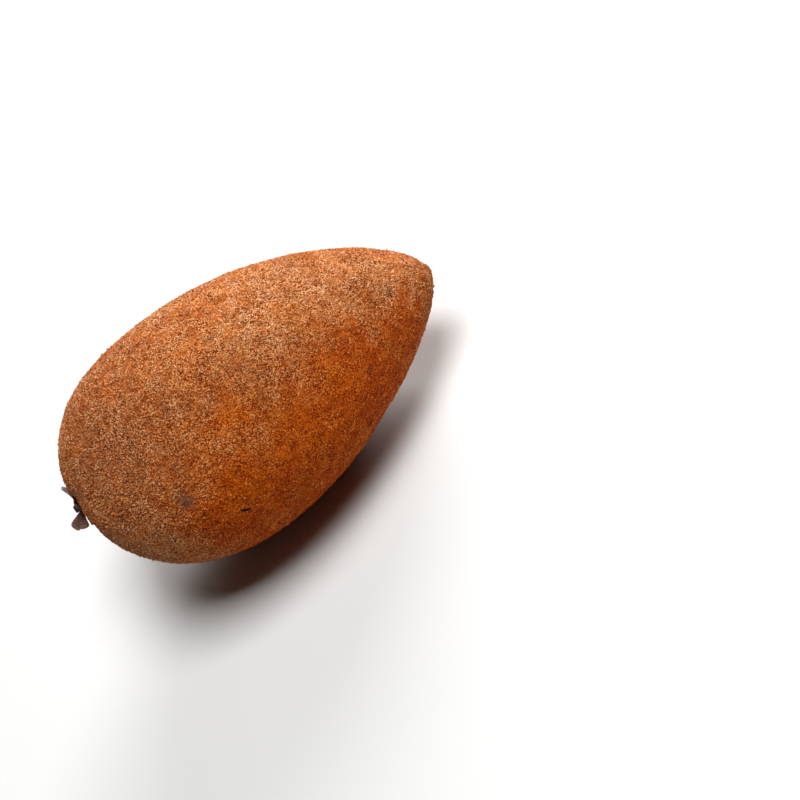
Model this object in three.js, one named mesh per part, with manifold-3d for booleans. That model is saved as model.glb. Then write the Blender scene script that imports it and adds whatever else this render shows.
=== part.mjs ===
// A whole sapodilla, as picked, lying on its side.
//
// It is two pieces: the fruit, which grew as one body, and the dry calyx that stays on its stem end.
// Millimetres, +Z up. +X points from the stem end to the blossom end, and the origin is the middle of
// the small flat spot that the fruit rests on, straight below its centre of mass.
//
// Every shape is first worked out in the fruit's own frame, whose X axis is the line between its poles
// and whose origin is halfway between them. The last section then lays the fruit down.

import * as THREE from "three";
import { mergeVertices } from "three/addons/utils/BufferGeometryUtils.js";
import Module from "manifold-3d";

const wasm = await Module();
wasm.setup();

const RAD = Math.PI / 180;

// Driving dimensions of the fruit
const LENGTH = 76; // from pole to pole
const GIRTH = 0.571; // radius halfway along, over half the length
const TAPER = 0.153; // how much fuller the stem half is than the blossom half
const ROUNDING = 0.014; // how much both ends draw in
const POINT = 0.05; // how sharply the blossom end narrows and the stem end broadens
const SAG = 1.2; // the middle hangs this far below the line between the poles
const BEND = 2; // and the blossom half curves up from it
const BEND_TURN = 40; // degrees from straight up, towards +Y, of the side that the fruit bends to
const LOBES = [
  { count: 2, height: 0.009, turn: 70 },
  { count: 3, height: 0.007, turn: 20 },
  { count: 5, height: 0.004, turn: 50 },
]; // shallow swellings around the fruit: how many, their height over the radius, where they start

// The stem end's shallow basin and the blossom end's small nib, where the style was
const BASIN_DEPTH = 0.9;
const BASIN_RADIUS = 6;
const SHOULDERS = 5;
const SHOULDER_HEIGHT = 0.3;
const SHOULDER_RADIUS = 9;
const NIB_HEIGHT = 0.5;
const NIB_RADIUS = 1.2;

// How the fruit lies
const LEAN = 10; // degrees that the lighter blossom end dips, so that the fruit balances
const FLAT_DEPTH = 0.3; // how much the flesh is flattened where it rests

// The calyx: a low disc with the scar of the stalk, and two whorls of three dry sepals
const GAP = 0.3; // between the calyx and the skin under it
const DISC_RADIUS = 2.6;
const DISC_HEIGHT = 0.9;
const SCAR_RADIUS = 0.95;
const SCAR_HEIGHT = 1.6;
const SCAR_HOLLOW = 0.2;
const SCAR_LEAN = 0.17; // how far the scar leans for each millimetre of height
const SCAR_TURN = 220; // and the side it leans to, in degrees around the stem end
const SEPAL_ROOT = 1.2; // distance of a sepal's root from the middle
const SEPAL_THICKNESS = 0.65;
const SEPAL_SEAT = 0.62; // height of a sepal's middle surface over the skin at its root
const SEPAL_CUP = 0.35; // how far its side edges bend down
const SEPAL_NECK = 0.89; // its width at the root, over its full width
const SEPAL_BELLY = 0.5; // how much of that width it gains towards the tip, which a round end then takes
const SEPAL_END = 0.985; // where its blade is cut off, over its length, so that the tip has an edge

// Turn: degrees around the stem end. Lift: how far the tip has risen off the skin, and curl: how late
// along the blade it does so, where 1 is a straight slope. Twist: how far one side rises over the
// other. Waist: how much the root is drawn in, which also makes the end blunt.
const WHORLS = [
  {
    length: 3.5,
    width: 4.2,
    sepals: [
      { turn: 20, lift: 0.6, curl: 1.8, twist: 0.1, waist: 0 },
      { turn: 140, lift: 0.5, curl: 1.8, twist: -0.2, waist: 0 },
      { turn: 260, lift: 2.2, curl: 1.2, twist: 1.7, waist: 0.7 },
    ],
  },
  {
    length: 3.3,
    width: 2.9,
    sepals: [
      { turn: 80, lift: 0.4, curl: 1.8, twist: 0, waist: 0 },
      { turn: 200, lift: 0.3, curl: 1.8, twist: 0.2, waist: 0 },
      { turn: 320, lift: 0.3, curl: 1.8, twist: -0.15, waist: 0 },
    ],
  },
];

// Mesh fineness
const AROUND = 56;
const ALONG = 42;
const SEPAL_STEPS = [8, 6];
const DISC_SIDES = 28;
const SAME_POINT = 1e-4; // vertices this near are one

// Small steps, over the length, that find a height on the skin and a sepal's slope
const STATION_STEP = 0.0025;
const BLADE_STEP = 0.01;

const HALF = LENGTH / 2;

// Radius of the plain outline at station s, from -1 at the stem pole to 1 at the blossom pole.
function outline(s) {
  const fullness = GIRTH - TAPER * s - ROUNDING * s * s - POINT * s * s * s;
  return HALF * Math.sqrt(Math.max(0, 1 - s * s)) * fullness;
}

// How far the fruit's own middle line leaves the straight line between the poles.
function bow(s) {
  return (1 - s * s) * (BEND * s - SAG);
}

// Point of the skin at station s and angle turn, in radians around +X from +Z towards +Y.
function skinPoint(s, turn) {
  const plain = outline(s);
  let swell = 1;
  for (const lobe of LOBES) {
    swell += lobe.height * Math.cos(lobe.count * (turn - lobe.turn * RAD) + s);
  }
  const radius = plain * swell;
  const offset = bow(s);
  const bendTurn = BEND_TURN * RAD;
  let x = HALF * s;
  if (s < 0) {
    const basin = BASIN_DEPTH * Math.exp(-((plain / BASIN_RADIUS) ** 2));
    const reach = plain / SHOULDER_RADIUS;
    const shoulder = reach * reach * Math.exp(1 - reach * reach);
    x += basin - SHOULDER_HEIGHT * shoulder * Math.cos(SHOULDERS * turn);
  } else {
    x += NIB_HEIGHT * Math.exp(-((plain / NIB_RADIUS) ** 2));
  }
  return new THREE.Vector3(
    x,
    radius * Math.sin(turn) + offset * Math.sin(bendTurn),
    radius * Math.cos(turn) + offset * Math.cos(bendTurn),
  );
}

// Moves every vertex of a geometry to place(vertex), and keeps positions only.
function reshape(geometry, place) {
  const position = geometry.getAttribute("position");
  const vertex = new THREE.Vector3();
  for (let i = 0; i < position.count; i++) {
    vertex.fromBufferAttribute(position, i);
    const moved = place(vertex);
    position.setXYZ(i, moved.x, moved.y, moved.z);
  }
  geometry.deleteAttribute("normal");
  geometry.deleteAttribute("uv");
  return mergeVertices(geometry, SAME_POINT);
}

// The skin as a closed mesh: a sphere whose poles become the ends of the fruit.
function fruitGeometry() {
  const sphere = new THREE.SphereGeometry(1, AROUND, ALONG);
  return reshape(sphere, (v) => skinPoint(-v.y, Math.atan2(v.x, v.z)));
}

// The flat disc in the middle of the calyx, with the low, hollowed scar where the stalk broke off.
function discGeometry() {
  const profile = [
    [0, -1],
    [DISC_RADIUS, -1],
    [DISC_RADIUS, DISC_HEIGHT * 0.6],
    [DISC_RADIUS * 0.8, DISC_HEIGHT],
    [SCAR_RADIUS * 1.2, DISC_HEIGHT * 1.1],
    [SCAR_RADIUS, SCAR_HEIGHT * 0.9],
    [SCAR_RADIUS * 0.8, SCAR_HEIGHT],
    [SCAR_RADIUS * 0.5, SCAR_HEIGHT - SCAR_HOLLOW * 0.8],
    [0, SCAR_HEIGHT - SCAR_HOLLOW],
  ].map(([radius, height]) => new THREE.Vector2(radius, height));
  const disc = new THREE.LatheGeometry(profile, DISC_SIDES);
  const floor = skinPoint(-1, 0);
  return reshape(disc, (v) => {
    const lean = SCAR_LEAN * Math.max(0, v.y);
    return new THREE.Vector3(
      floor.x - v.y,
      floor.y + v.x + lean * Math.sin(SCAR_TURN * RAD),
      floor.z + v.z + lean * Math.cos(SCAR_TURN * RAD),
    );
  });
}

// Height of the skin at the stem end over its basin's floor, for a distance from the middle.
function skinRise(distance) {
  let s = -1;
  while (outline(s) < distance) {
    s += STATION_STEP;
  }
  return skinPoint(-1, 0).x - skinPoint(s, 0).x;
}

// How wide a sepal is at a place along it, over its full width.
function sepalTaper(along, waist) {
  const narrowed = (1 - waist * (1 - along)) * (1 - 0.2 * waist);
  const end = (1 - along ** (2 + 4 * waist)) ** (0.5 + waist / 4);
  return (SEPAL_NECK + SEPAL_BELLY * along) * narrowed * end;
}

// One sepal: a thin blade that follows the skin from its root and curls up at its tip.
function sepalGeometry(length, width, sepal) {
  const floor = skinPoint(-1, 0);
  const turn = sepal.turn * RAD;
  const middle = (along, across) => {
    const taper = sepalTaper(along, sepal.waist);
    const side = (width / 2) * taper;
    const distance = SEPAL_ROOT + length * along;
    const height =
      SEPAL_SEAT +
      skinRise(distance) +
      sepal.lift * along ** sepal.curl +
      sepal.twist * across * along * taper -
      SEPAL_CUP * across * across * along;
    const y = side * across;
    return new THREE.Vector3(
      floor.x - height,
      floor.y + distance * Math.sin(turn) + y * Math.cos(turn),
      floor.z + distance * Math.cos(turn) - y * Math.sin(turn),
    );
  };
  const blade = new THREE.BoxGeometry(1, 1, 1, SEPAL_STEPS[0], SEPAL_STEPS[1], 1);
  return reshape(blade, (v) => {
    const along = Math.min(SEPAL_END, Math.max(0, v.x + 0.5));
    const across = v.y * 2;
    const here = middle(along, across);
    const down = middle(Math.max(0, along - BLADE_STEP), across);
    const left = middle(along, across - BLADE_STEP);
    const normal = new THREE.Vector3()
      .crossVectors(here.clone().sub(down), here.clone().sub(left))
      .normalize();
    if (along === 0) {
      normal.set(-1, 0, 0);
    }
    return here.addScaledVector(normal, v.z * SEPAL_THICKNESS);
  });
}

// A closed mesh as a solid, with its faces turned outwards.
function solidOf(geometry) {
  const solid = new wasm.Manifold(
    new wasm.Mesh({
      numProp: 3,
      vertProperties: new Float32Array(geometry.getAttribute("position").array),
      triVerts: new Uint32Array(geometry.index.array),
    }),
  );
  if (solid.volume() >= 0) {
    return solid;
  }
  const flipped = geometry.clone();
  const corners = flipped.index.array;
  for (let i = 0; i < corners.length; i += 3) {
    [corners[i + 1], corners[i + 2]] = [corners[i + 2], corners[i + 1]];
  }
  return solidOf(flipped);
}

// A solid's vertices and triangles as a three.js geometry.
function geometryOf(solid) {
  const mesh = solid.getMesh();
  const positions = new Float32Array(mesh.numVert * 3);
  for (let i = 0; i < mesh.numVert; i++) {
    const start = i * mesh.numProp;
    positions.set(mesh.vertProperties.subarray(start, start + 3), i * 3);
  }
  const geometry = new THREE.BufferGeometry();
  geometry.setAttribute("position", new THREE.BufferAttribute(positions, 3));
  geometry.setIndex(new THREE.BufferAttribute(new Uint32Array(mesh.triVerts), 1));
  geometry.computeVertexNormals();
  return geometry;
}

// Centre of mass of a closed mesh, from the tetrahedra between its faces and the origin.
function centreOfMass(geometry) {
  const corners = geometry.index.array;
  const position = geometry.getAttribute("position");
  const corner = (i) => new THREE.Vector3().fromBufferAttribute(position, corners[i]);
  const sum = new THREE.Vector3();
  let total = 0;
  for (let i = 0; i < corners.length; i += 3) {
    const [a, b, c] = [corner(i), corner(i + 1), corner(i + 2)];
    const volume = a.dot(b.clone().cross(c)) / 6;
    sum.addScaledVector(a.add(b).add(c), volume / 4);
    total += volume;
  }
  return sum.divideScalar(total);
}

// The matrix that lays the fruit down: its blossom end dips, its centre of mass comes to stand over
// the origin, and its lowest point lies just below the surface that it rests on.
function layingDown(geometry) {
  const place = new THREE.Matrix4().makeRotationY(LEAN * RAD);
  const leaning = geometry.clone().applyMatrix4(place);
  leaning.computeBoundingBox();
  const centre = centreOfMass(leaning);
  const shift = new THREE.Matrix4().makeTranslation(
    -centre.x,
    -centre.y,
    -leaning.boundingBox.min.z - FLAT_DEPTH,
  );
  return shift.multiply(place);
}

// The fruit, cut off flat along the surface that it rests on.
function makeFruit(skin, place) {
  const table = new THREE.BoxGeometry(LENGTH, LENGTH, LENGTH);
  table.translate(0, 0, -LENGTH / 2);
  const tableSolid = solidOf(reshape(table, (v) => v));
  const fruit = solidOf(skin.clone().applyMatrix4(place)).subtract(tableSolid);
  const material = new THREE.MeshStandardMaterial({
    color: 0x9a5a30,
    roughness: 0.85,
    metalness: 0,
  });
  const mesh = new THREE.Mesh(geometryOf(fruit), material);
  mesh.name = "fruit";
  return mesh;
}

// The calyx, all in one piece, and clear of the skin by the gap.
function makeCalyx(skin, place) {
  let calyx = solidOf(discGeometry());
  for (const whorl of WHORLS) {
    for (const sepal of whorl.sepals) {
      calyx = calyx.add(solidOf(sepalGeometry(whorl.length, whorl.width, sepal)));
    }
  }
  const raisedSkin = skin.clone().translate(-GAP, 0, 0);
  const trimmed = calyx.subtract(solidOf(raisedSkin));
  const material = new THREE.MeshStandardMaterial({
    color: 0x3a2620,
    roughness: 0.75,
    metalness: 0,
  });
  const mesh = new THREE.Mesh(geometryOf(trimmed).applyMatrix4(place), material);
  mesh.name = "calyx";
  return mesh;
}

const skin = fruitGeometry();
const place = layingDown(skin);
const sapodilla = new THREE.Group();
sapodilla.add(makeFruit(skin, place), makeCalyx(skin, place));

export default sapodilla;
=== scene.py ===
# A whole sapodilla that lies on its side: its rough brown skin, and the dry calyx on its stem end.
import math

import bpy
import numpy as np
from mathutils import Matrix, Vector, noise
from mathutils.geometry import delaunay_2d_cdt


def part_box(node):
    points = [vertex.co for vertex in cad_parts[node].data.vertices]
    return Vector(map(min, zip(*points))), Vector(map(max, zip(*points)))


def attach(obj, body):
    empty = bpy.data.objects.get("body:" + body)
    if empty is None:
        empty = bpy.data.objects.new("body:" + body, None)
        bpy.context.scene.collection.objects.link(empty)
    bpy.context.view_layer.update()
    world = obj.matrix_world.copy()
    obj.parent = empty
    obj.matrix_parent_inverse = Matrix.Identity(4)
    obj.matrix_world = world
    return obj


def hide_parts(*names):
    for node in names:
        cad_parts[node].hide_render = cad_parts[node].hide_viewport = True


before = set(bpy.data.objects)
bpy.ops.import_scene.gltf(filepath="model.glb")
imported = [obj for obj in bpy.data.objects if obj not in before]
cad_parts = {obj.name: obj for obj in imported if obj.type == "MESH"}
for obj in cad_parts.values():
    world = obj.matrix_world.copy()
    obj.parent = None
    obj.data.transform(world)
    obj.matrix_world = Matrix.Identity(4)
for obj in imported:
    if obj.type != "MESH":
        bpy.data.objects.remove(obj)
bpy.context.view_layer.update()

MM = 0.001
SEED = 7
# Left unseeded, the noise that is a vector would change from run to run
noise.seed_set(SEED)

# The fruit's form as the solid under it has it: its girth in shares of its half length, the rest in
# millimetres. Its own frame has X through both poles. A station s runs from -1 at the stem pole to 1
# at the blossom pole, and a turn is the angle from straight up towards +Y.
HALF = 38
GIRTH = 0.571
TAPER = 0.153
ROUNDING = 0.014
POINT = 0.05
SAG = 1.2
BEND = 2
BEND_TURN = math.radians(40)
# How many lobes go round, how high they are as a share of the girth, and their turn in degrees
LOBES = ((2, 0.009, 70), (3, 0.007, 20), (5, 0.004, 50))
BASIN_DEPTH = 0.9
BASIN_RADIUS = 6
SHOULDERS = 5
SHOULDER_HEIGHT = 0.3
SHOULDER_RADIUS = 9
NIB_HEIGHT = 0.5
NIB_RADIUS = 1.2
LEAN = math.radians(10)
BASIN_STATIONS = (-1, -0.7, 400)  # the first, the last and how many, where the basin is measured
PLACING_GRID = (500, 721)  # stations and turns at which the fruit's reach is measured

# The skin's granules: how many there are, how far each strays from an even spacing as a share of
# it, and the flat map that they are laid out on
GRANULES = 32000
SHAKE = 0.38
SPIRAL = math.pi * (3 - math.sqrt(5))
MAP_STATIONS = 6000
MAP_END = 0.001  # the angle at each pole that the map leaves out
MAP_CENTRE = 1e-12  # the least distance to its middle, so that it has a logarithm
MERGE_DISTANCE = 1e-9
SKIN_STEP = 1e-4  # the change of station or angle over which the skin's slope is measured
CAP_REACH = 1.3  # how far the last corners lie past the map's edge, where it closes at the stem pole
SIDE_MARGIN = 1.05  # room round each side in the map for baked finishes

# Soft noises: height, size in millimetres, octaves and seed
COVER_CLOUDS = (0.2, 5, 4, 1)
WRINKLE_CLOUDS = (3, 4, 2, 2)
SWELL_CLOUDS = (0.16, 11, 2, 3)
DENT_CLOUDS = (0.06, 3.6, 3, 4)
DEEP_CLOUDS = (0.15, 6, 3, 5)
TIP_CLOUDS = (0.7, 1.2, 2, 6)
CRACK_CLOUDS = (1, 2.2, 2, 8)
RUGGED_CLOUDS = (0.5, 3.5, 2, 9)
CLOUD_SHIFT = (17.3, 5.1, 11.7)
OCTAVE_FALL = 1.0
OCTAVE_STEP = 2.0
RAGGED = ((2.6, 6), (1.0, 1.8))  # how far patches' outlines stray, and over what size

# Scattered cells: the hash that gives each its random numbers, and a start farther than any seed
HASH_PRIMES = (73856093, 19349663, 83492791)
HASH_SEED = 2654435761
HASH_FACTOR = 2246822519
HASH_SHIFT = 15
HASH_SIZE = 2**32
HASH_STEPS = 100003
FAR = 9.0

# How much scurf covers the peel: everywhere, on its patches, and off the bare ones
COVER = 0.6
SCURF_COVER = 0.4
BARE_COVER = 0.7
DEEP_SPAN = (0.1, 0.95)  # where the deep orange fields start, and where they are full

# Granules, as shares of their full height: pits, tops, and the corners between them. A top whose
# random tag is above the tall one stands higher.
PIT_SHARE = 0.28
SCURF_PITS = 0.14  # how much less of scurf is pits
PIT_GRAIN = (-0.7, -0.3)
TOP_GRAIN = (0.3, 1.15)
CORNER_GRAIN = (-0.4, 0.25)
TALL_TAG = 0.98
TALL_GRAIN = 0.9

# Relief of the skin, in millimetres, and the shares that shape it
GRAIN_HEIGHT = 0.24
GRAIN_BARE = 0.4
GRAIN_SEAT = 0.1  # how far the whole relief is sunk, so that the outline runs along the solid's
STEM_END = (4, 11)  # radii between which the look of the stem end fades
STEM_CALM = 0.35
CLUMP_SIZE = 1.5
CRACK_EDGE = (0.02, 0.32)
CRACK_FIELDS = (-0.15, 0.25)
CRACK_DEPTH = 0.1
WART_SIZE = 2.6
WART_SHARE = 0.22
WART_CORE = 0.09
WART_RADIUS = 0.6
WART_HEIGHT = 0.1
WART_BARE = 0.5
WRINKLES = 22
WRINKLE_HEIGHT = 0.09
WRINKLE_RADIUS = 4.8
WRINKLE_BAND = 2.7713
TIP_SPAN = (0.4, 1.7)  # radii between which the withered tip fades
# How strongly the granules' height is painted into the skin's colour, as shade in pits and light on
# tops: a base share, and a share that grows with ruggedness
TOP_BARE = 0.55
TOP_RUGGED = 0.5

# Places on the skin: station, turn in degrees, radius in millimetres, and strength
SCURF_PATCHES = (
    (-0.78, -30, 15, 1.0), (-0.52, -50, 10, 0.6), (-0.55, 25, 12, 0.8), (-0.2, 28, 6, 0.8),
    (0.02, -38, 6, 0.45), (0.2, -50, 6, 0.3), (0.6, -5, 10, 0.5), (0.4, 5, 8, 0.4),
    (-0.8, 120, 12, 0.8), (-0.2, 150, 10, 0.7), (0.4, 110, 9, 0.7), (0.2, -170, 8, 0.6),
    (-0.7, -150, 9, 0.6), (0.7, 170, 7, 0.6), (-0.1, 80, 8, 0.4), (-0.98, 0, 9, 0.8),
)
BARE_PATCHES = (
    (-0.13, -14, 7, 0.3), (-0.15, -50, 4.5, 0.9), (-0.28, -90, 11, 1.0), (0.1, -95, 13, 1.0),
    (0.42, -90, 12, 1.0), (0.7, -85, 7, 0.8), (0.05, -125, 10, 0.9), (0.3, -25, 6, 0.1),
    (0.1, 60, 9, 0.4), (-0.45, 85, 8, 0.5), (0.25, 150, 9, 0.7), (-0.55, 175, 8, 0.7),
    (0.6, 75, 8, 0.5), (-0.3, -150, 7, 0.6), (-0.36, -62, 7, 0.6),
)
DEEP_PATCHES = (
    (-0.42, -92, 9, 1.0), (-0.25, -92, 12, 1.0), (0.1, -95, 14, 1.0), (0.45, -92, 13, 1.0),
    (0.75, -90, 8, 0.8), (0.02, -128, 13, 1.0), (0.45, -130, 11, 1.0), (-0.3, -130, 10, 0.9),
    (0.3, -170, 10, 0.9), (0.6, 150, 9, 0.9), (-0.4, 175, 9, 0.7), (-0.15, -49, 4.5, 0.5),
    (-0.38, -64, 8, 0.4), (-0.2, -62, 9, 0.42),
)
OCHRE_PATCHES = (
    (-0.15, -49, 4.0, 0.8), (-0.2, -60, 9, 0.7), (-0.3, -84, 5, 0.6), (0.05, -90, 6, 0.5),
    (-0.33, 20, 5, 0.5), (0.3, -70, 5, 0.35), (0.55, 100, 6, 0.6), (-0.3, 120, 6, 0.6),
    (0.1, -170, 6, 0.6),
)
# Pale fields: pale scurf in some places, and a painted highlight along the fruit's upper side in others
PALE_AND_LIT_PATCHES = (
    (-0.2, 26, 4.5, 0.9), (-0.1, 22, 4, 0.7), (0.62, -9, 8, 0.85), (0.3, 2, 11, 0.85),
    (0.5, -27, 8, 1.0), (0.85, -42, 6, 0.8), (0.15, -20, 9, 1.0), (0.8, -20, 6, 0.9),
    (-0.2, -8, 7, 0.6), (-0.75, 30, 7, 0.4), (0.3, 130, 6, 0.5), (-0.6, -170, 6, 0.4),
    (-0.8, -100, 7, 0.9),
)
DARK_MARKS = (
    (0.764, -48, 0.8, 0.75), (0.488, -83, 0.7, 0.7), (-0.047, -15, 0.9, 0.5),
    (0.35, -112, 0.8, 0.8), (-0.2, 95, 1.1, 0.7), (0.3, 60, 0.8, 0.7), (-0.6, 150, 1.0, 0.6),
    (0.5, 175, 0.9, 0.7),
)
SMUDGES = ((-0.535, -72, 1.3, 1.0),)

# The scar and the scratch, on sunken smooth skin, and a fleck: stations and turns in degrees, then
# lengths in millimetres
SCAR = (-0.543, -73.3)
SCRATCH = ((-0.362, -90), (-0.319, -92.8))
FLECK = (-0.312, -93.6)
MARK_REACH = 0.8
MARK_CORE = 0.32
MARK_DEPTH = 0.1
SCAR_RING = 0.32
SCAR_LINE = (0.07, 0.22)
FLECK_SPAN = (0.15, 0.4)
SCRATCH_SPAN = (0.05, 0.12)

# The calyx, in millimetres, and in shares of a sepal's length and width
SEPAL_ROOT = 1.1
SEPAL_SEAT = 0.18
SEPAL_CUP = 0.35
SEPAL_NECK = 0.89
SEPAL_BELLY = 0.5
SEPAL_END = 0.985
SEPAL_THICKNESS = 0.42
SEPAL_EDGE = 0.12
SEPAL_THINNING = 0.75
SEPAL_GRID = (26, 20)
SEPAL_STEP = 0.01  # the share of a sepal over which its slope is measured
TINY = 1e-9  # keeps a division by a length of nought from failing
WAIST_SQUEEZE = 0.2
WAIST_BLUNTS = 4
VEINS = 5
VEIN_HEIGHT = 0.05
RIM_WAVE = 0.12
RIM_WAVES = 7
RIM_WAVE_SHIFT = 5
TEAR_WIDTH = 0.16
TEAR_DEPTH = 0.175
TEAR_START = 0.8
TONE_REACH = 0.6
# Each sepal's turn in degrees, how far its end lifts, how late it curls, its twist and waist, where
# it is torn from -1 to 1 across it, how light it gets, and how pale its end is
OUTER = dict(length=3.5, width=4.3)
INNER = dict(length=3.3, width=2.9)
SEPALS = (
    dict(OUTER, turn=20, lift=0.95, curl=1.8, twist=0.1, waist=0, tear=0.3, tone=1, pale=1),
    dict(OUTER, turn=140, lift=0.8, curl=1.8, twist=-0.2, waist=0, tear=-0.4, tone=0.8, pale=0.5),
    dict(OUTER, turn=260, lift=2.6, curl=1.2, twist=1.7, waist=0.7, tear=-0.75, tone=1, pale=0.2),
    dict(INNER, turn=80, lift=0.5, curl=1.8, twist=0, waist=0, tear=0.2, tone=0.7, pale=0.4),
    dict(INNER, turn=200, lift=0.3, curl=1.8, twist=0.2, waist=0, tear=-0.3, tone=0.7, pale=0.3),
    dict(INNER, turn=320, lift=0.3, curl=1.8, twist=-0.15, waist=0, tear=0.5, tone=0.2, pale=0),
)

# The disc that the sepals grow from, and the stalk's scar on it, in millimetres. The profiles are
# shares: of the disc's radius and height, of the scar's radius and the disc's height, of the scar's
# radius and height, and of the scar's radius and the depth of its hollow.
DISC_RADIUS = 2.5
DISC_HEIGHT = 0.42
DISC_ROOT = 0.6
STALK_RADIUS = 0.68
STALK_HEIGHT = 1.5
STALK_HOLLOW = 0.5
STALK_TURN = math.radians(220)  # the side the scar leans to
STALK_LEAN = 0.17
DISC_SIDE = ((1, 0), (1, 0.45), (0.93, 0.7), (0.8, 0.88))
STALK_FOOT = ((1.45, 0.95), (1.2, 1.1))
STALK_SIDE = ((1.05, 0.75), (1, 0.9), (0.92, 0.98), (0.8, 1))
STALK_CUP = ((0.66, 0.35), (0.5, 0.8), (0.3, 1), (0.16, 0.8))
ROOT_INSET = 0.9
ROOT_CENTRE = 0.1
CUP_CENTRE = (0.03, 0.7)
DISC_SIDES = 64
# Ridges round it: their height as a share, how many, and how they shift with height and radius
DISC_RIDGES = ((0.035, 11, 4, 0), (0.03, 23, 0, -2))
DISC_LUMPS = (0.06, 7, 3)

# Patterns of the skin in its shader, as how many go to a millimetre
BLOBS = 5.0
BLOB_DETAIL = 0.5
PLATES = 4.0
GRIT = 8.0
SPLITS = 0.95
SPLIT_FIELDS = 1.1
SPLIT_DETAIL = 1.0
SPECKS = 0.85
CALM_FIELDS = 0.35
LOW_FIELDS = 0.45
BROAD = 0.16
MIDDLING = 0.5
FINE_DETAIL = 3.0
# How places are pushed about: how many pushes to a millimetre, and how far in millimetres
PLATE_PUSH = (3.0, 0.2)
SPLIT_PUSH = (0.9, 0.6)
# Widths and spans: where each pattern starts and ends
EDGE_WIDTH = 0.2
SPLIT_WIDTH = 0.1
SPLIT_SHOWS = (0.5, 0.62)
SPECK_SPAN = (0.1, 0.2)
SPECK_TAG = (0.55, 0.65)
NOISE_SPAN = (0.3, 0.7)  # where most of a noise lies
BROAD_SPAN = (0.35, 0.65)

# What each pattern adds to the tone, which runs from about -1 in pits to 2 on tips. The tone is the
# skin's random colour and also painted shade and light: lower in pits, gaps, cracks and splits, higher
# on the tops of granules
RELIEF_SHADE_TONE = 0.55
BLOB_TONE = (-0.85, 0.95)
PLATE_TONE = (-0.35, 0.4)
GRIT_TONE = (-0.2, 0.2)
LOW_TONE = (-0.22, 0.2)
GAP_SHADE_TONE = 0.2
CRACK_SHADE_TONE = 0.1
SPLIT_SHADOW_TONE = 0.6
PALE_AND_LIT_TONE = 0.22
# What the tone is multiplied by, outside and inside of fields
DEEP_CONTRAST = (1.1, 0.85)
STEM_CONTRAST = (1.0, 0.7)
CALM_CONTRAST = (0.6, 1.2)
# Tones between which pits turn into sides, sides into tops, and tops into tips
SIDES_SPAN = (-0.7, 0.2)
TOPS_SPAN = (0.25, 1.3)
TIPS_SPAN = (1.3, 1.9)

# Colours as they show on a screen, from 0 to 255
# The pits' colours hold painted shade, and the tops' and tips' colours a painted sheen and highlight,
# over the skin's own colours
SHADED_PITS = dict(tan=(146, 50, 0), scurf=(118, 50, 10), deep=(134, 34, 0))
SIDES = dict(tan=(218, 112, 22), scurf=(196, 117, 64), pale=(236, 148, 80))
LIT_TOPS = dict(tan=(254, 168, 86), scurf=(244, 176, 122), deep=(246, 136, 30), pale=(255, 208, 156))
LIT_TIPS = (244, 190, 140)
PEEL = ((218, 94, 0), (208, 85, 0))
OCHRE_PEEL = (220, 110, 0)
SIDES_PALE = 0.5
TOPS_PALE = 0.6
COVER_CHANGE = (-0.2, 0.2)
DOT = (116, 40, 6)
DOT_HUES = (0.84, 0.9)  # the random hue from which a granule is a dark dot
DOT_COVER = (0.2, 0.9, 0.55, 0.1)  # dots are strong on bare peel, and faint under scurf
SPECK = (255, 184, 116)
SPECK_SHARE = 0.6
# What lies over the tones: the attribute that says where, its strength and its colour
OVERLAYS = (
    ("wart", 0.3, (176, 112, 76)),
    ("stem_end", 0.35, (136, 72, 46)),
    ("smudge", 0.6, (122, 98, 80)),
    ("tip", 0.7, (118, 80, 58)),
    ("mark", 0.85, (46, 26, 18)),
)
SCAR_SHARE = 0.65
SCAR_COLOUR = (52, 38, 32)
FLECK_SHARE = 0.4
FLECK_COLOUR = (170, 126, 90)
SCRATCH_SHARE = 0.97
SCRATCH_COLOUR = (16, 8, 6)
# How much each pattern raises the bump, and the bump's height in metres
BUMP_GRIT = 0.8
BUMP_EDGE = 0.5
BUMP_SPLIT = 0.6
BUMP_BLOBS = 1.5
BUMP_HEIGHT = 0.0002
ROUGHNESS = (-0.3, 1.0, 0.95, 0.6)  # tones in pits and on tips, then how rough each is
DULL = 0.1  # specular level of dry surfaces

# The calyx's shader
FIBRES = 2.4
FIBRE_DETAIL = 4.0
FIBRE_PUSH = (0.8, 0.6)
CALYX_BROAD = 0.7
CALYX_FIELDS = (0.45, 0.7)
TIPS_FROM = (0.5, 0.9)
TIPS_FIELDS = (0.3, 0.45)
CALYX_DARK = (54, 28, 22)
CALYX_FIBRES = ((88, 57, 50), (134, 98, 86))
CALYX_FIELD = (0.6, (140, 110, 96))
CALYX_TIPS = (0.7, (156, 150, 130))
CALYX_BUMP = (0.8, 0.00012)
CALYX_ROUGHNESS = (0.55, 0.8)

# The camera: its view of the fruit is the photograph's
PICTURE = 800
LENS = 100
SENSOR = 36
NEAREST = 0.01  # metres from the camera at which things start to show
SCALE = 5.5675  # pixels for each millimetre at the fruit's middle
MIDDLE = (253.4, 387.3)  # where that middle is in the picture, in pixels
AXIS_RISE = math.radians(34.25)  # the fruit's axis in the picture, from the left to the right
ROLL = math.radians(40)  # the side that faces the camera, round the fruit's axis

# Floor and light, in metres and watts. A light's turn is from straight up towards +Y, and its tilt
# is towards +X, both in degrees.
FLOOR_REACH = 3
FLOOR_COLOURS = ((208, 208, 207), (212, 212, 211))
FLOOR_CLOUDS = 0.02
FLOOR_ROUGHNESS = 0.9
LIGHT_DISTANCE = 0.8
LIGHT_SIZE = 0.45
LIGHTS = (
    dict(name="top", turn=-6, tilt=13, power=8.9),
    dict(name="back", turn=66, tilt=34, power=9.6),
)
WORLD_STRENGTH = 0.02


# Shape of the fruit


def outline(s):
    """Radius of the plain egg at stations s."""
    fullness = GIRTH - TAPER * s - ROUNDING * s**2 - POINT * s**3
    return HALF * np.sqrt(np.maximum(0, 1 - s**2)) * fullness


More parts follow.
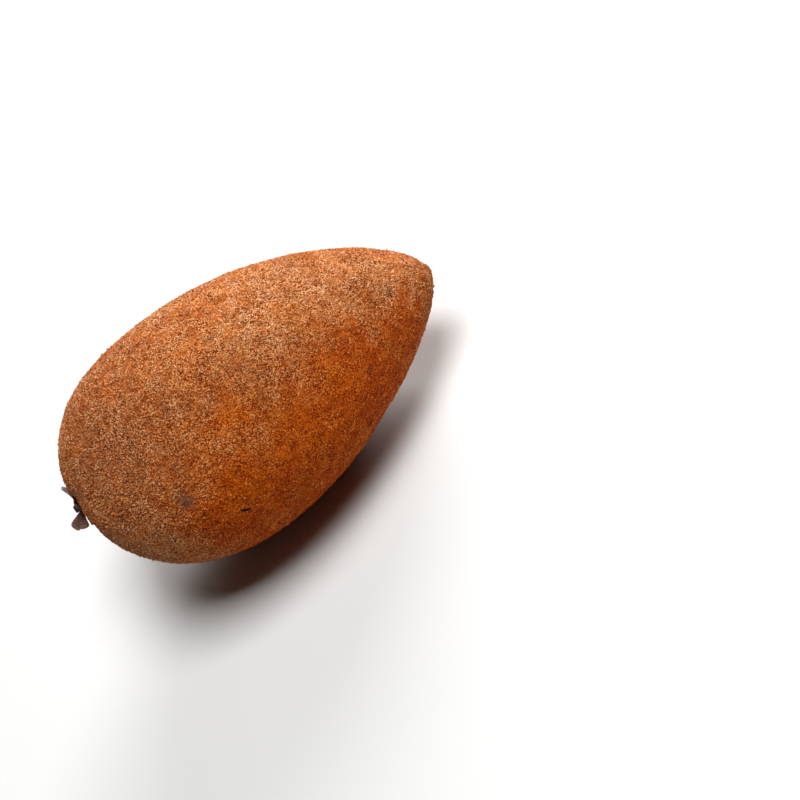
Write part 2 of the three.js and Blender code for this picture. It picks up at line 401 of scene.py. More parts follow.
def skin(s, turn):
    """Points of the skin at stations s and angles turn, in the fruit's own frame."""
    plain = outline(s)
    swell = 1 + sum(h * np.cos(n * (turn - math.radians(t)) + s) for n, h, t in LOBES)
    offset = (1 - s**2) * (BEND * s - SAG)
    reach = plain / SHOULDER_RADIUS
    shoulder = reach**2 * np.exp(1 - reach**2) * np.cos(SHOULDERS * turn)
    basin = BASIN_DEPTH * np.exp(-((plain / BASIN_RADIUS) ** 2)) - SHOULDER_HEIGHT * shoulder
    nib = NIB_HEIGHT * np.exp(-((plain / NIB_RADIUS) ** 2))
    return np.stack(
        [
            HALF * s + np.where(s < 0, basin, nib),
            plain * swell * np.sin(turn) + offset * math.sin(BEND_TURN),
            plain * swell * np.cos(turn) + offset * math.cos(BEND_TURN),
        ],
        -1,
    )


def leaning(points):
    """The fruit's own frame turned as the fruit lies."""
    x, y, z = np.moveaxis(points, -1, 0)
    c, s = math.cos(LEAN), math.sin(LEAN)
    return np.stack([c * x + s * z, y, c * z - s * x], -1)


def find_place():
    """What has to be added to leaning points, so that the fruit fills the box of its solid."""
    stations, turns = PLACING_GRID
    s, turn = np.meshgrid(
        -np.cos(np.linspace(0, math.pi, stations)), np.linspace(0, 2 * math.pi, turns)
    )
    points = leaning(skin(s, turn)).reshape(-1, 3)
    low, high = (np.array(corner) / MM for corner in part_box("fruit"))
    place = (low + high - points.min(0) - points.max(0)) / 2
    place[2] = high[2] - points[:, 2].max()
    return place


PLACE = find_place()


def in_row(points):
    """Places in metres in the row frame, from the fruit's own frame."""
    return (leaning(points) + PLACE) * MM


def spot(s, turn):
    """One place on the skin, from its station and its turn in degrees."""
    return skin(np.array([s]), np.array([math.radians(turn)]))[0]


def outward(s, turn):
    """Unit normals of the smooth skin."""
    step = SKIN_STEP
    inner = np.clip(s, -1 + 2 * step, 1 - 2 * step)
    along = skin(inner + step, turn) - skin(inner - step, turn)
    around = skin(inner, turn + step) - skin(inner, turn - step)
    normal = np.cross(along, around)
    return normal / np.linalg.norm(normal, axis=1, keepdims=True)


# Patterns on points


def cells(points, size, seed):
    """Distances to the nearest and the next of the seeds scattered one to a cube of that size, and a
    random number that belongs to the nearest."""
    at = points / size
    home = np.floor(at).astype(np.int64)
    near = np.full(len(at), FAR)
    following = near.copy()
    tag = np.zeros(len(at))
    for shift in np.ndindex(3, 3, 3):
        cell = home + np.array(shift) - 1
        key = (cell * HASH_PRIMES).sum(1) + seed * HASH_SEED
        draws = []
        for _ in range(4):
            key = (key ^ (key >> HASH_SHIFT)) * HASH_FACTOR % HASH_SIZE
            draws.append((key % HASH_STEPS) / HASH_STEPS)
        distance = np.linalg.norm(cell + np.stack(draws[:3], 1) - at, axis=1)
        following = np.minimum(following, np.maximum(near, distance))
        tag = np.where(distance < near, draws[3], tag)
        near = np.minimum(near, distance)
    return near * size, following * size, tag


def clouds(points, height, size, octaves, seed):
    """Soft noise about 0 whose features have that size."""
    shift = Vector([seed * step for step in CLOUD_SHIFT])
    return height * np.array(
        [noise.fractal(Vector(p / size) + shift, OCTAVE_FALL, OCTAVE_STEP, octaves) for p in points]
    )


def smooth(value, low, high):
    t = np.clip((value - low) / (high - low), 0, 1)
    return t * t * (3 - 2 * t)


def between(ends, share):
    low, high = ends
    return low + (high - low) * share


def astray(points):
    """The points pushed about by noise, so that patches get ragged outlines."""
    pushed = []
    for place in map(Vector, points):
        moved = place
        for reach, size in RAGGED:
            moved = moved + reach * noise.noise_vector(place / size)
        pushed.append(moved)
    return np.array(pushed)


def patches(points, places):
    """How much each point lies in soft round patches."""
    total = np.zeros(len(points))
    for s, turn, radius, strength in places:
        distance = np.linalg.norm(points - spot(s, turn), axis=1)
        total = np.maximum(total, strength * np.exp(-((distance / radius) ** 2)))
    return total


# Meshes


def flat_map():
    """Stations of the skin, how deep each lies in a flat map of it that keeps angles true, and how
    much skin lies before it. The blossom pole is at the middle of the map, and depth is the logarithm
    of the distance to it."""
    stations = -np.cos(np.linspace(MAP_END, math.pi - MAP_END, MAP_STATIONS))
    radius = outline(stations)
    length = np.hypot(np.diff(HALF * stations), np.diff(radius))
    middle = (radius[1:] + radius[:-1]) / 2
    depth = -np.concatenate([[0], np.cumsum(length / middle)])
    area = np.concatenate([[0], np.cumsum(length * middle)])
    return stations, depth - depth.mean(), area


def spread_granules(rng):
    """Places on the flat map of the granules' middles: even over the skin, then shaken."""
    stations, depth, area = flat_map()
    share = (np.arange(GRANULES) + 0.5) / GRANULES
    s = np.interp(share * area[-1], area, stations)
    spacing = math.sqrt(2 * math.pi * area[-1] / GRANULES)
    reach = np.maximum(outline(s), spacing)
    shake = rng.normal(0, SHAKE * spacing, (2, GRANULES)) / reach
    distance = np.exp(np.interp(s, stations, depth) + shake[0])
    turn = np.arange(GRANULES) * SPIRAL + shake[1]
    return np.stack([distance * np.sin(turn), distance * np.cos(turn)], 1)


def from_flat(flat):
    """Stations and turns of places on the flat map."""
    stations, depth, _ = flat_map()
    found = np.log(np.maximum(np.hypot(*flat.T), MAP_CENTRE))
    s = np.interp(-found, -depth, stations)
    return s, np.arctan2(*flat.T)


def edges(triangles):
    """The start and the end of each edge of each triangle."""
    return triangles.reshape(-1), np.roll(triangles, -1, 1).reshape(-1)


def granule_mesh(rng):
    """A closed mesh that gives each granule a middle point and a ring of corners shared with its
    neighbours. Returns stations, turns, which points are middles, and triangles."""
    flat = spread_granules(rng)
    start_points = [Vector(p) for p in flat]
    _, _, faces, origins, _, _ = delaunay_2d_cdt(start_points, [], [], 0, MERGE_DISTANCE)
    origins = np.array([o[0] for o in origins])
    triangles = origins[np.array(faces)]
    # The outer edge of the map closes at the stem pole
    pole = len(flat)
    base = pole + 1
    start, end = edges(triangles)
    outer = ~np.isin(start * base + end, end * base + start)
    cap = np.stack([end[outer], start[outer], np.full(outer.sum(), pole)], 1)
    corners = np.concatenate([flat[triangles].mean(1), CAP_REACH * flat[cap[:, :2]].mean(1)])
    triangles = np.concatenate([triangles, cap])
    # Each edge from one middle to another makes a face with the corners on its two sides
    start, end = edges(triangles)
    left = np.repeat(np.arange(len(triangles)), 3)
    key, reverse = start * base + end, end * base + start
    order = np.argsort(key)
    right = left[order[np.searchsorted(key[order], reverse)]]
    fans = np.stack([start, right + base, left + base], 1)
    s, turn = from_flat(np.concatenate([flat, [[1, 0]], corners]))
    s[pole] = -1
    is_middle = np.arange(len(s)) <= pole
    return s, turn, is_middle, fans


def unfolded(s, turn, faces):
    """A place on a flat map of six sides for each corner of each face, for finishes that are baked."""
    ring = np.sqrt(1 - s**2)
    direction = np.stack([s, ring * np.sin(turn), ring * np.cos(turn)], 1)[faces]
    middle = direction.mean(1)
    axis = np.abs(middle).argmax(1)
    places = np.zeros(faces.shape + (2,))
    size = np.array([HALF, HALF * GIRTH, HALF * GIRTH])
    slots = {0: ((2, 0), (2, 1)), 1: ((0, 0), (1, 0)), 2: ((0, 1), (1, 1))}
    wide, high, _ = 2 * SIDE_MARGIN * size
    for side, both in slots.items():
        across = [k for k in range(3) if k != side]
        for end, (column, row) in enumerate(both):
            chosen = (axis == side) & ((middle[:, side] > 0) == (end == 1))
            part = direction[chosen]
            lean = part[..., across] / np.abs(part[..., [side]])
            spread = np.arctan(lean) * 4 / math.pi * size[across]
            # The last column is as narrow as a row is high
            centre = column * wide + (high if column == 2 else wide) / 2
            places[chosen] = spread + np.array([centre, row * high + high / 2])
    return places / (2 * wide + high)


def new_object(name, points, faces):
    """A mesh object at the origin, smooth all over, that rides on the root. Points are in metres."""
    mesh = bpy.data.meshes.new(name)
    mesh.from_pydata(points.tolist(), [], faces)
    mesh.validate()
    mesh.shade_smooth()
    piece = bpy.data.objects.new(name, mesh)
    bpy.context.collection.objects.link(piece)
    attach(piece, "root")
    return piece


def add_attribute(piece, name, values):
    layer = piece.data.attributes.new(name, "FLOAT", "POINT")
    layer.data.foreach_set("value", np.asarray(values, np.float32))


# The fruit


def granule_grain(rng, is_middle, scurf):
    """How far each point stands out, as a share. Most granules stand up, and some are pits."""
    tag = rng.random(len(scurf))
    is_pit = rng.random(len(scurf)) < PIT_SHARE - SCURF_PITS * scurf
    top = between(TOP_GRAIN, tag) + TALL_GRAIN * (tag > TALL_TAG)
    grain = np.where(is_pit, between(PIT_GRAIN, tag), top)
    return np.where(is_middle, grain, between(CORNER_GRAIN, tag))


def warts(points):
    near, _, kind = cells(points, WART_SIZE, SEED + 1)
    return (kind < WART_SHARE) * (1 - smooth(near, WART_CORE, WART_RADIUS))


def cracks(points):
    near, following, _ = cells(points, CLUMP_SIZE, SEED + 2)
    fields = smooth(clouds(points, *CRACK_CLOUDS), *CRACK_FIELDS)
    return (1 - smooth(following - near, *CRACK_EDGE)) * fields


def wrinkles(points, s, turn):
    """Wrinkles that run out from the calyx, in a band round it."""
    wave = np.cos(WRINKLES * turn + clouds(points, *WRINKLE_CLOUDS))
    band = np.exp(-(((outline(s) - WRINKLE_RADIUS) / WRINKLE_BAND) ** 2))
    return wave * band * (s < 0)


def on_marks(points):
    """How much each point lies on the scar or the scratch, where the skin is sunken and smooth."""
    start, end = (spot(*p) for p in SCRATCH)
    along = np.clip(((points - start) @ (end - start)) / ((end - start) @ (end - start)), 0, 1)
    to_scratch = np.linalg.norm(points - start - along[:, None] * (end - start), axis=1)
    to_scar = np.linalg.norm(points - spot(*SCAR), axis=1)
    return 1 - smooth(np.minimum(to_scratch, to_scar), MARK_CORE, MARK_REACH)


def build_fruit():
    rng = np.random.default_rng(SEED)
    s, turn, is_middle, faces = granule_mesh(rng)
    points = skin(s, turn)
    ring = outline(s)
    ragged = astray(points)
    scurf = patches(ragged, SCURF_PATCHES)
    bare = patches(ragged, BARE_PATCHES)
    cover = COVER + SCURF_COVER * scurf - BARE_COVER * bare + clouds(points, *COVER_CLOUDS)
    cover = np.clip(cover, 0, 1)
    grain = granule_grain(rng, is_middle, scurf)
    stem_end = np.where(s < 0, 1 - smooth(ring, *STEM_END), 0)
    rugged = between((GRAIN_BARE, 1), cover) * (1 + clouds(points, *RUGGED_CLOUDS))
    rugged = rugged * (1 - STEM_CALM * stem_end)
    wart = warts(points)
    crack = cracks(points)
    relief = (
        clouds(points, *SWELL_CLOUDS)
        + clouds(points, *DENT_CLOUDS)
        + GRAIN_HEIGHT * grain * rugged
        - CRACK_DEPTH * crack
        + WART_HEIGHT * wart * between((WART_BARE, 1), cover)
        + WRINKLE_HEIGHT * wrinkles(points, s, turn)
        - GRAIN_SEAT
    )
    marked = on_marks(points)
    relief = relief * (1 - marked) - MARK_DEPTH * marked
    placed = in_row(points + outward(s, turn) * relief[:, None])
    placed[:, 2] = np.maximum(placed[:, 2], 0)

    fruit = new_object("sapodilla_skin", placed, faces.tolist())
    fruit.data.shade_flat()
    layer = fruit.data.uv_layers.new(name="OFBake")
    layer.data.foreach_set("uv", unfolded(s, turn, faces).reshape(-1).astype(np.float32))
    deep = patches(ragged, DEEP_PATCHES) + clouds(points, *DEEP_CLOUDS)
    withered = 1 - smooth(ring + clouds(points, *TIP_CLOUDS), *TIP_SPAN)
    attributes = dict(
        cover=cover,
        deep=smooth(deep, *DEEP_SPAN),
        # How high each granule stands, for painting shade in pits and light on tops into the colour
        top=grain * (TOP_BARE + TOP_RUGGED * rugged),
        crack=crack,
        hue=rng.random(len(points)),
        wart=wart,
        # Pale fields, partly a painted highlight along the upper side
        ochre=patches(ragged, OCHRE_PATCHES),
        pale=patches(ragged, PALE_AND_LIT_PATCHES),
        mark=patches(points, DARK_MARKS),
        smudge=patches(points, SMUDGES),
        tip=np.where(s > 0, withered, 0),
        stem_end=stem_end,
    )
    for name, values in attributes.items():
        add_attribute(fruit, name, values)
    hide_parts("fruit")
    return fruit


# The calyx


def basin_rise(distance):
    """Height of the skin over the floor of the stem basin, at a distance from its middle."""
    stations = np.linspace(*BASIN_STATIONS)
    heights = skin(stations, np.zeros_like(stations))[:, 0]
    return np.interp(distance, outline(stations), heights[0] - heights)


def on_stem_end(side, out, height):
    """Points in the fruit's own frame, from reaches towards +Y and +Z and heights over the basin."""
    floor = spot(-1, 0)
    return np.stack([floor[0] - height, floor[1] + side, floor[2] + out], -1)


def sepal_taper(along, waist):
    """How wide a sepal is at each place along it. A waist narrows its root and makes its end blunt."""
    narrowed = (1 - waist * (1 - along)) * (1 - WAIST_SQUEEZE * waist)
    end = (1 - along ** (2 + WAIST_BLUNTS * waist)) ** (0.5 + waist / 4)
    return (SEPAL_NECK + SEPAL_BELLY * along) * narrowed * end


def sepal_middle(along, across, length, width, lift, curl, waist):
    """The middle surface of a sepal, as distance from the calyx's middle, sideways reach and height."""
    side = width / 2 * sepal_taper(along, waist)
    distance = SEPAL_ROOT + length * along
    height = SEPAL_SEAT + basin_rise(distance) + lift * along**curl
    height = height - SEPAL_CUP * across**2 * along
    return np.stack([distance, side * across, height], -1)


def sepal_normals(along, across, shape):
    """Unit normals of the middle surface, on its upper side."""
    step = SEPAL_STEP
    rise = sepal_middle(np.minimum(along + step, SEPAL_END), across, *shape)
    rise = rise - sepal_middle(np.maximum(along - step, 0), across, *shape)
    over = sepal_middle(along, across + step, *shape) - sepal_middle(along, across - step, *shape)
    normal = np.cross(over, rise)
    normal /= np.linalg.norm(normal, axis=-1, keepdims=True) + TINY
    return normal * np.sign(normal[..., 2].sum())


def sheet_faces(rows, columns):
    """Quads of a closed sheet whose upper points come before its lower ones."""
    upper = np.arange(rows * columns).reshape(rows, columns)
    lower = upper + rows * columns
    rim = np.concatenate([upper[0], upper[1:, -1], upper[-1, -2::-1], upper[-2:0:-1, 0]])
    after = np.roll(rim, -1)
    quads = [
        np.stack([upper[:-1, :-1], upper[:-1, 1:], upper[1:, 1:], upper[1:, :-1]], -1),
        np.stack([lower[:-1, :-1], lower[1:, :-1], lower[1:, 1:], lower[:-1, 1:]], -1),
        np.stack([after, rim, rim + rows * columns, after + rows * columns], -1),
    ]
    return np.concatenate([q.reshape(-1, 4) for q in quads]).tolist()


def build_sepal(length, width, turn, lift, curl, twist, waist, tear, tone, pale):
    """Points, faces, tones and paleness of one closed sepal, in the fruit's own frame."""
    rows, columns = SEPAL_GRID
    along, across = np.meshgrid(
        np.linspace(0, SEPAL_END, rows), np.linspace(-1, 1, columns), indexing="ij"
    )
    shape = (length, width, lift, curl, waist)
    middle = sepal_middle(along, across, *shape)
    normal = sepal_normals(along, across, shape)
    # Veins run the length of the blade; its rim is thin, wavy, and torn a little at one place
    vein = np.cos(VEINS * math.pi * across) * VEIN_HEIGHT * (1 - across**2)
    wave = RIM_WAVE * np.sin(RIM_WAVES * along + RIM_WAVE_SHIFT * tear) * across**3 * along
    notch = np.exp(-(((across - tear) / TEAR_WIDTH) ** 2)) * smooth(along, TEAR_START, 1.0)
    middle[..., 0] -= notch * length * TEAR_DEPTH
    middle[..., 2] += wave + twist * across * along * sepal_taper(along, waist)
    blade = (SEPAL_THICKNESS - SEPAL_EDGE) * (1 - across**2) * (1 - SEPAL_THINNING * along)
    half = (SEPAL_EDGE + blade) / 2
    top = middle + normal * (half + vein)[..., None]
    bottom = middle - normal * half[..., None]
    distance, side, height = np.concatenate([top.reshape(-1, 3), bottom.reshape(-1, 3)]).T
    c, s = math.cos(math.radians(turn)), math.sin(math.radians(turn))
    points = on_stem_end(distance * s + side * c, distance * c - side * s, height)
    reach = np.concatenate([along.reshape(-1)] * 2)
    return points, sheet_faces(rows, columns), tone * smooth(reach, 0, TONE_REACH), pale * reach


def disc_profile():
    """Radii and heights of the disc's outline, from the middle of its root to the scar's hollow."""
    bottom = -DISC_ROOT
    profile = [(ROOT_CENTRE, bottom), (ROOT_INSET * DISC_RADIUS, bottom)]
    profile += [(r * DISC_RADIUS, h * DISC_HEIGHT) for r, h in DISC_SIDE]
    profile += [(r * STALK_RADIUS, h * DISC_HEIGHT) for r, h in STALK_FOOT]
    profile += [(r * STALK_RADIUS, h * STALK_HEIGHT) for r, h in STALK_SIDE]
    profile += [(r * STALK_RADIUS, STALK_HEIGHT - h * STALK_HOLLOW) for r, h in STALK_CUP]
    radius, depth = CUP_CENTRE
    return profile + [(radius, STALK_HEIGHT - depth * STALK_HOLLOW)]


def build_disc():
    """Points, faces, tones and paleness of the disc, with the hollowed scar of the stalk on it."""
    profile = disc_profile()
    angles = np.arange(DISC_SIDES) * 2 * math.pi / DISC_SIDES
    lump_height, lumps, lump_shift = DISC_LUMPS
    points = []
    for radius, height in profile:
        ridge = 1 + sum(
            share * np.cos(count * angles + up * height + out * radius)
            for share, count, up, out in DISC_RIDGES
        )
        lump = lump_height * np.cos(lumps * angles + lump_shift * radius) * (height > 0)
        lean = STALK_LEAN * max(height, 0)
        side = radius * ridge * np.sin(angles) + lean * math.sin(STALK_TURN)
        out = radius * ridge * np.cos(angles) + lean * math.cos(STALK_TURN)
        points.append(on_stem_end(side, out, height + lump * radius / DISC_RADIUS))
    corner = np.arange(DISC_SIDES)
    quad = np.stack(
        [corner, np.roll(corner, -1), np.roll(corner, -1) + DISC_SIDES, corner + DISC_SIDES], -1
    )
    faces = np.concatenate([quad + ring * DISC_SIDES for ring in range(len(profile) - 1)]).tolist()
    last = (len(profile) - 1) * DISC_SIDES
    faces += [corner[::-1].tolist(), (corner + last).tolist()]
    dark = np.zeros(DISC_SIDES * len(profile))
    return np.concatenate(points), faces, dark, dark


def build_calyx():
    points, all_faces, tones, pales, first = [], [], [], [], 0
    for place, faces, tone, pale in [build_disc()] + [build_sepal(**sepal) for sepal in SEPALS]:
        points.append(place)
        all_faces.extend([corner + first for corner in face] for face in faces)
        tones.append(tone)
        pales.append(pale)
        first += len(place)
    calyx = new_object("dry_calyx", in_row(np.concatenate(points)), all_faces)
    add_attribute(calyx, "tone", np.concatenate(tones))
    add_attribute(calyx, "pale", np.concatenate(pales))
    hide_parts("calyx")
    return calyx


# Materials


class Nodes:
    """Adds shader nodes to a new material. A value given as an input is a socket to link or a number."""

    def __init__(self, name):
        self.material = bpy.data.materials.new(name)
        self.material.use_nodes = True
        self.tree = self.material.node_tree
        self.shader = self.tree.nodes["Principled BSDF"]

    def put(self, socket, value):
        if isinstance(value, bpy.types.NodeSocket):
            self.tree.links.new(value, socket)
        else:
            socket.default_value = value

    def add(self, kind, output=0, inputs=None, **settings):
        node = self.tree.nodes.new(kind)
        for key, value in settings.items():
            setattr(node, key, value)
        for key, value in (inputs or {}).items():
            self.put(node.inputs[key], value)
        return node.outputs[output]

    def attribute(self, name):
        return self.add("ShaderNodeAttribute", "Fac", attribute_name=name)

    def math(self, operation, a, b=0.0, clamp=False):
        return self.add("ShaderNodeMath", inputs={0: a, 1: b}, operation=operation, use_clamp=clamp)

    def times(self, a, b):
        return self.math("MULTIPLY", a, b)

    def plus(self, a, b):
        return self.math("ADD", a, b)

    def minus(self, a, b):
        return self.math("SUBTRACT", a, b)

    def span(self, value, low, high, to_low=0.0, to_high=1.0):
        return self.add(
            "ShaderNodeMapRange",
            inputs={"Value": value, 1: low, 2: high, 3: to_low, 4: to_high},
            interpolation_type="SMOOTHSTEP",
        )

    def mix(self, share, a, b):
        return self.add("ShaderNodeMix", 2, {0: share, 6: a, 7: b}, data_type="RGBA")

    def noise(self, at, scale, detail=2.0, output=0):
        return self.add(
            "ShaderNodeTexNoise", output, {"Vector": at, "Scale": scale, "Detail": detail}
        )

    def cells(self, at, scale, output="Distance", feature="F1"):
        return self.add(
            "ShaderNodeTexVoronoi", output, {"Vector": at, "Scale": scale}, feature=feature
        )

    def edges(self, at, scale, width):
        """Lines of that width between cells."""
        away = self.cells(at, scale, feature="DISTANCE_TO_EDGE")
        return self.span(away, 0.0, width, 1.0, 0.0)

    def cell_tag(self, at, scale):
        """A random number for each cell."""
        return self.add("ShaderNodeSeparateColor", 0, {0: self.cells(at, scale, "Color")})

    def millimetres(self):
        """Places in millimetres, in the row frame."""
        place = self.add("ShaderNodeTexCoord", "Object")
        return self.add(
            "ShaderNodeVectorMath", inputs={0: place, "Scale": 1 / MM}, operation="SCALE"
        )

    def shifted(self, at, scale, amount):
        """Places pushed about by noise."""
        push = self.noise(at, scale, output="Color")
        middle = self.add(
            "ShaderNodeVectorMath", inputs={0: push, 1: (0.5, 0.5, 0.5)}, operation="SUBTRACT"
        )
        return self.add(
            "ShaderNodeVectorMath",
            inputs={0: middle, 1: (amount, amount, amount), 2: at},
            operation="MULTIPLY_ADD",
        )

    def distance(self, at, place):
        return self.add("ShaderNodeVectorMath", "Value", {0: at, 1: place}, operation="DISTANCE")

    def bump(self, strength, distance, height):
        inputs = {"Strength": strength, "Distance": distance, "Height": height}
        return self.add("ShaderNodeBump", inputs=inputs)


def rgb(colour):
    """A colour given as it shows on a screen, from 0 to 255, as linear light."""
    light = [((v / 255 + 0.055) / 1.055) ** 2.4 if v > 10 else v / 255 / 12.92 for v in colour]
    return (*light, 1.0)


def mark_place(s, turn):
    """A place on the sunken skin of a mark in millimetres, in the row frame."""
    sunken = spot(s, turn) - MARK_DEPTH * outward(np.array([s]), np.array([math.radians(turn)]))[0]
    return tuple(in_row(sunken) / MM)


def skin_tone_and_shade(n, at, bent, blobs, edge, split, grit):
    """The tone of each place, from the pits to the tips of the granules: the skin's random colour, and
    painted shade and light that follow the relief, darker in pits, gaps, cracks and splits and lighter
    on high granules and pale fields.
    """
    # Painted shade and light: high granules make the tone lighter, pits and corners darker
    tone = n.times(n.attribute("top"), RELIEF_SHADE_TONE)
    tone = n.plus(tone, n.span(blobs, *NOISE_SPAN, *BLOB_TONE))
    tone = n.plus(tone, n.span(n.cell_tag(bent, PLATES), 0.0, 1.0, *PLATE_TONE))
    tone = n.plus(tone, n.span(grit, *NOISE_SPAN, *GRIT_TONE))
    # Painted shade in the gaps round plates, in sunken cracks and in the splits
    tone = n.minus(tone, n.times(edge, GAP_SHADE_TONE))
    tone = n.minus(tone, n.times(n.attribute("crack"), CRACK_SHADE_TONE))
    tone = n.minus(tone, n.times(split, SPLIT_SHADOW_TONE))
    tone = n.times(tone, n.span(n.attribute("deep"), 0.0, 1.0, *DEEP_CONTRAST))
    tone = n.times(tone, n.span(n.attribute("stem_end"), 0.0, 1.0, *STEM_CONTRAST))
    # Pale fields lighten the tone, partly as a painted highlight along the upper side
    tone = n.plus(tone, n.times(n.attribute("pale"), PALE_AND_LIT_TONE))
    # Some fields are calmer than others, and some are a little darker
    tone = n.times(tone, n.span(n.noise(at, CALM_FIELDS), *BROAD_SPAN, *CALM_CONTRAST))
    return n.plus(tone, n.span(n.noise(bent, LOW_FIELDS), *NOISE_SPAN, *LOW_TONE))


def skin_colour(n, at, tone):
    """Colours of tan peel, scurf, deep orange and pale fields, each from pits to tips. The pits' colours
    hold painted shade and the tops' and tips' colours a painted sheen and highlight; the pale fields are
    partly a painted highlight.
    """
    change = n.span(n.noise(at, MIDDLING, FINE_DETAIL), *NOISE_SPAN, *COVER_CHANGE)
    cover = n.math("ADD", n.attribute("cover"), change, clamp=True)
    deep = n.attribute("deep")
    pale = n.attribute("pale")
    low = n.mix(cover, rgb(SHADED_PITS["tan"]), rgb(SHADED_PITS["scurf"]))
    low = n.mix(deep, low, rgb(SHADED_PITS["deep"]))
    broad = n.span(n.noise(at, BROAD, FINE_DETAIL), *BROAD_SPAN)
    peel = n.mix(broad, *(rgb(colour) for colour in PEEL))
    peel = n.mix(n.attribute("ochre"), peel, rgb(OCHRE_PEEL))
    middle = n.mix(cover, rgb(SIDES["tan"]), rgb(SIDES["scurf"]))
    middle = n.mix(n.times(pale, SIDES_PALE), middle, rgb(SIDES["pale"]))
    middle = n.mix(deep, middle, peel)
    high = n.mix(cover, rgb(LIT_TOPS["tan"]), rgb(LIT_TOPS["scurf"]))
    high = n.mix(deep, high, rgb(LIT_TOPS["deep"]))
    high = n.mix(n.times(pale, TOPS_PALE), high, rgb(LIT_TOPS["pale"]))
    # Painted shade in the low tones, and painted sheen and highlight in the high ones
    colour = n.mix(n.span(tone, *SIDES_SPAN), low, middle)
    colour = n.mix(n.span(tone, *TOPS_SPAN), colour, high)
    colour = n.mix(n.span(tone, *TIPS_SPAN), colour, rgb(LIT_TIPS))
    dots = n.times(n.span(n.attribute("hue"), *DOT_HUES), n.span(cover, *DOT_COVER))
    return n.mix(dots, colour, rgb(DOT))


def with_marks(n, at, colour):
    """The colour with the pale specks, the overlays, the scar, the fleck and the scratch on it."""
    # A speck is at the middle of each cell whose tag is high
    speck = n.span(n.cells(at, SPECKS), *SPECK_SPAN, 1.0, 0.0)
    speck = n.times(speck, n.span(n.cell_tag(at, SPECKS), *SPECK_TAG))
    colour = n.mix(n.times(speck, SPECK_SHARE), colour, rgb(SPECK))
    for name, strength, overlay in OVERLAYS:
        colour = n.mix(n.times(n.attribute(name), strength), colour, rgb(overlay))
    off_ring = n.math("ABSOLUTE", n.minus(n.distance(at, mark_place(*SCAR)), SCAR_RING))
    ring = n.span(off_ring, *SCAR_LINE, SCAR_SHARE, 0.0)
    colour = n.mix(ring, colour, rgb(SCAR_COLOUR))
    fleck = n.span(n.distance(at, mark_place(*FLECK)), *FLECK_SPAN, FLECK_SHARE, 0.0)
    colour = n.mix(fleck, colour, rgb(FLECK_COLOUR))
    # The scratch is where the distances to its two ends add up to little more than its length
    ends = [mark_place(*end) for end in SCRATCH]
    away = n.plus(n.distance(at, ends[0]), n.distance(at, ends[1]))
    near, far = (math.dist(*ends) + more for more in SCRATCH_SPAN)
    return n.mix(n.span(away, near, far, SCRATCH_SHARE, 0.0), colour, rgb(SCRATCH_COLOUR))


def skin_material():
    n = Nodes("sapodilla_skin")
    at = n.millimetres()
    bent = n.shifted(at, *PLATE_PUSH)
    # Blobs, grit, lines round fine plates, and short crescents where the scurf has split. The lines and
    # crescents are sunk in the bump and painted dark as shade in the gaps.
    blobs = n.noise(at, BLOBS, BLOB_DETAIL)
    grit = n.noise(at, GRIT)
    edge = n.edges(bent, PLATES, EDGE_WIDTH)
    split = n.edges(n.shifted(at, *SPLIT_PUSH), SPLITS, SPLIT_WIDTH)
    split = n.times(split, n.span(n.noise(at, SPLIT_FIELDS, SPLIT_DETAIL), *SPLIT_SHOWS))
    tone = skin_tone_and_shade(n, at, bent, blobs, edge, split, grit)
    height = n.minus(n.times(grit, BUMP_GRIT), n.times(edge, BUMP_EDGE))
    height = n.minus(height, n.times(split, BUMP_SPLIT))
    height = n.plus(height, n.times(blobs, BUMP_BLOBS))
    n.put(n.shader.inputs["Base Color"], with_marks(n, at, skin_colour(n, at, tone)))
    n.put(n.shader.inputs["Roughness"], n.span(tone, *ROUGHNESS))
    n.put(n.shader.inputs["Normal"], n.bump(1.0, BUMP_HEIGHT, height))
    n.shader.inputs["Specular IOR Level"].default_value = DULL
    return n.material


def calyx_material():
    n = Nodes("dry_calyx")
    at = n.millimetres()
    fibres = n.noise(n.shifted(at, *FIBRE_PUSH), FIBRES, FIBRE_DETAIL)
    broad = n.noise(at, CALYX_BROAD, FINE_DETAIL)
    colour = n.mix(n.span(fibres, *BROAD_SPAN), *(rgb(fibre) for fibre in CALYX_FIBRES))
    share, field = CALYX_FIELD
    colour = n.mix(n.times(n.span(broad, *CALYX_FIELDS), share), colour, rgb(field))
    colour = n.mix(n.attribute("tone"), rgb(CALYX_DARK), colour)
    tips = n.times(n.span(n.attribute("pale"), *TIPS_FROM), n.span(broad, *TIPS_FIELDS))
    share, tip = CALYX_TIPS
    colour = n.mix(n.times(tips, share), colour, rgb(tip))
    n.put(n.shader.inputs["Base Color"], colour)
    n.put(n.shader.inputs["Roughness"], n.span(fibres, *NOISE_SPAN, *CALYX_ROUGHNESS))
    n.put(n.shader.inputs["Normal"], n.bump(*CALYX_BUMP, fibres))
    return n.material


def floor_material():
    n = Nodes("pale_floor")
    clouding = n.noise(n.millimetres(), FLOOR_CLOUDS)
    n.put(n.shader.inputs["Base Color"], n.mix(clouding, *(rgb(tone) for tone in FLOOR_COLOURS)))
    n.shader.inputs["Roughness"].default_value = FLOOR_ROUGHNESS
    n.shader.inputs["Specular IOR Level"].default_value = DULL
    return n.material


# Camera, floor and light


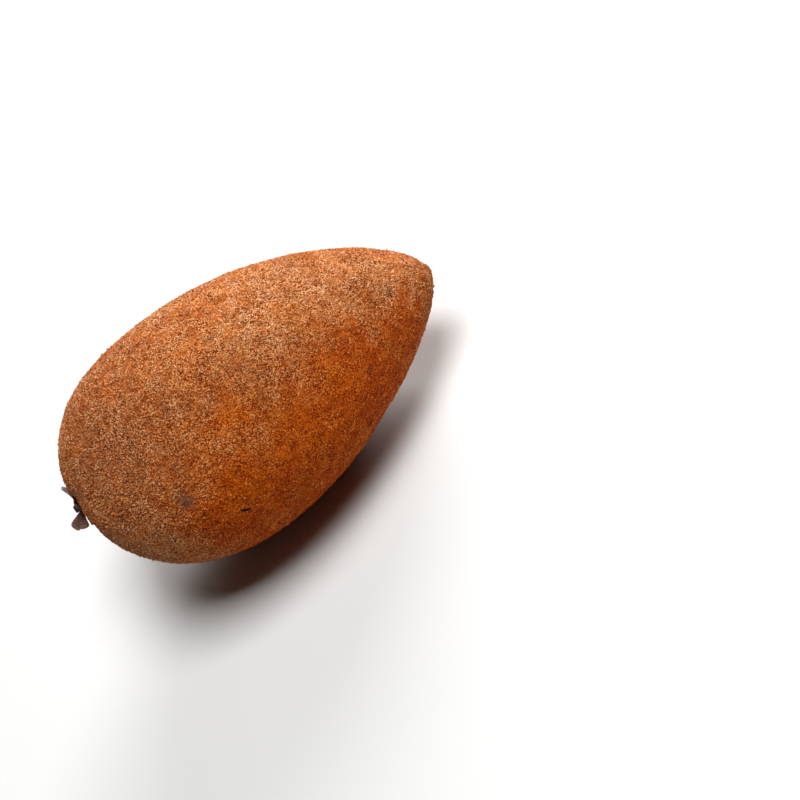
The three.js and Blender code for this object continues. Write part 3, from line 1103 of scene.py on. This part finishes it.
def camera_view():
    """The camera's right, up and back as a matrix, and its place, from the photograph's view."""
    leant = Matrix.Rotation(LEAN, 3, "Y")
    axis = leant @ Vector((1, 0, 0))
    back = leant @ Vector((0, -math.cos(ROLL), math.sin(ROLL)))
    flat = (axis - back * axis.dot(back)).normalized()
    over = back.cross(flat)
    c, s = math.cos(AXIS_RISE), math.sin(AXIS_RISE)
    upright = Matrix((flat * c - over * s, flat * s + over * c, back)).transposed()
    # The fruit is left of the picture's middle, so the camera looks past it
    pixel = SENSOR / LENS / PICTURE
    seen = Vector(((MIDDLE[0] - PICTURE / 2) * pixel, (PICTURE / 2 - MIDDLE[1]) * pixel, -1))
    aimed = upright @ seen.rotation_difference(Vector((0, 0, -1))).to_matrix()
    distance = LENS / SENSOR * PICTURE / SCALE * MM
    return aimed, Vector(PLACE * MM) + back * distance


def add_camera():
    axes, place = camera_view()
    data = bpy.data.cameras.new("camera")
    data.lens = LENS
    data.sensor_width = SENSOR
    data.clip_start = NEAREST
    camera = bpy.data.objects.new("camera", data)
    camera.matrix_world = Matrix.Translation(place) @ axes.to_4x4()
    bpy.context.collection.objects.link(camera)
    bpy.context.scene.camera = camera


def add_light(name, turn, tilt, power):
    """A square soft light that looks at the fruit."""
    turn, tilt = math.radians(turn), math.radians(tilt)
    level = math.cos(tilt)
    direction = Vector((math.sin(tilt), level * math.sin(turn), level * math.cos(turn)))
    data = bpy.data.lights.new(name, "AREA")
    data.size = LIGHT_SIZE
    data.energy = power
    light = bpy.data.objects.new(name, data)
    light.location = Vector(PLACE * MM) + direction * LIGHT_DISTANCE
    light.rotation_mode = "QUATERNION"
    light.rotation_quaternion = (-direction).to_track_quat("-Z", "Y")
    bpy.context.collection.objects.link(light)


def add_stage():
    corners = np.array([(-1, -1, 0), (1, -1, 0), (1, 1, 0), (-1, 1, 0)], float) * FLOOR_REACH
    floor = new_object("floor", corners, [[0, 1, 2, 3]])
    floor.data.materials.append(floor_material())
    world = bpy.data.worlds.new("world")
    world.use_nodes = True
    background = world.node_tree.nodes["Background"]
    background.inputs["Color"].default_value = (1, 1, 1, 1)
    background.inputs["Strength"].default_value = WORLD_STRENGTH
    bpy.context.scene.world = world
    for light in LIGHTS:
        add_light(**light)


fruit = build_fruit()
fruit.data.materials.append(skin_material())
calyx = build_calyx()
calyx.data.materials.append(calyx_material())
add_camera()
add_stage()
bpy.context.scene.view_settings.view_transform = "Standard"
